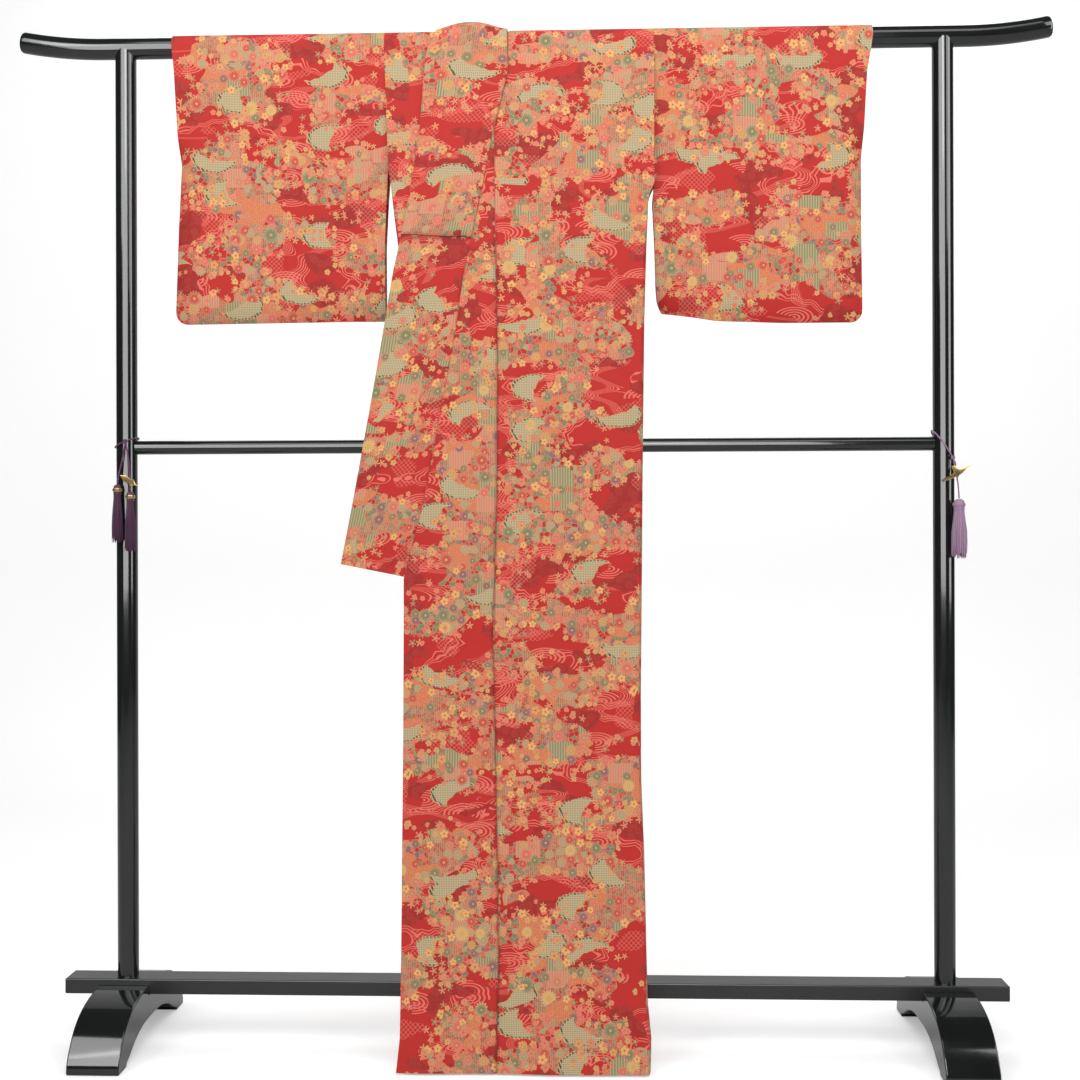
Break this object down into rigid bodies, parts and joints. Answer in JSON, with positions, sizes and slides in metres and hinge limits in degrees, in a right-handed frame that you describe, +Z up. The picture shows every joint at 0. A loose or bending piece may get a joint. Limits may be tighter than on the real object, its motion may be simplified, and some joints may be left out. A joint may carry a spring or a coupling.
{
  "type": "komon kimono on a kimono stand",
  "caption": "Crimson blossom-patterned kimono draped left over right on a black lacquered rail stand, its wide collar opened flat, both sleeves spread along the rail.",
  "frame": {"origin": "on the floor, midway between the stand's posts in X and at the posts' plane in Y, which is the centre of the overall box", "axes": "+Z up, +X to the right seen from the front, -Y towards the viewer who faces the kimono's front"},
  "size_m": [1.634, 0.33, 1.6215],
  "materials": {
    "kimono_cloth": "crepe silk, all-over blossom print on crimson",
    "lacquer": "black lacquered wood, high gloss",
    "tie_cord": "twisted purple cord",
    "tassel_purple": "deep purple silk strands",
    "tassel_mauve": "pale mauve silk strands",
    "gilt": "polished gilt"
  },
  "bodies": {
    "root": {"body_left_front": "kimono_cloth", "body_left_back": "kimono_cloth", "body_right_front": "kimono_cloth", "body_right_back": "kimono_cloth", "okumi_left": "kimono_cloth", "okumi_right": "kimono_cloth", "collar_left": "kimono_cloth", "collar_right": "kimono_cloth", "overlay_collar": "kimono_cloth", "sleeve_left": "kimono_cloth", "sleeve_right": "kimono_cloth", "top_rail": "lacquer", "middle_rail": "lacquer", "base_rail": "lacquer", "post_left": "lacquer", "post_right": "lacquer", "foot_left": "lacquer", "foot_right": "lacquer", "tie_left": "tie_cord", "tie_right": "tie_cord", "tassel_left_outer": "tassel_purple", "tassel_left_inner": "tassel_purple", "tassel_right": "tassel_mauve", "band_right": "tassel_mauve", "charm_left": "gilt", "charm_right": "gilt", "band_left_outer": "gilt", "band_left_inner": "gilt"}
  },
  "joints": []
}
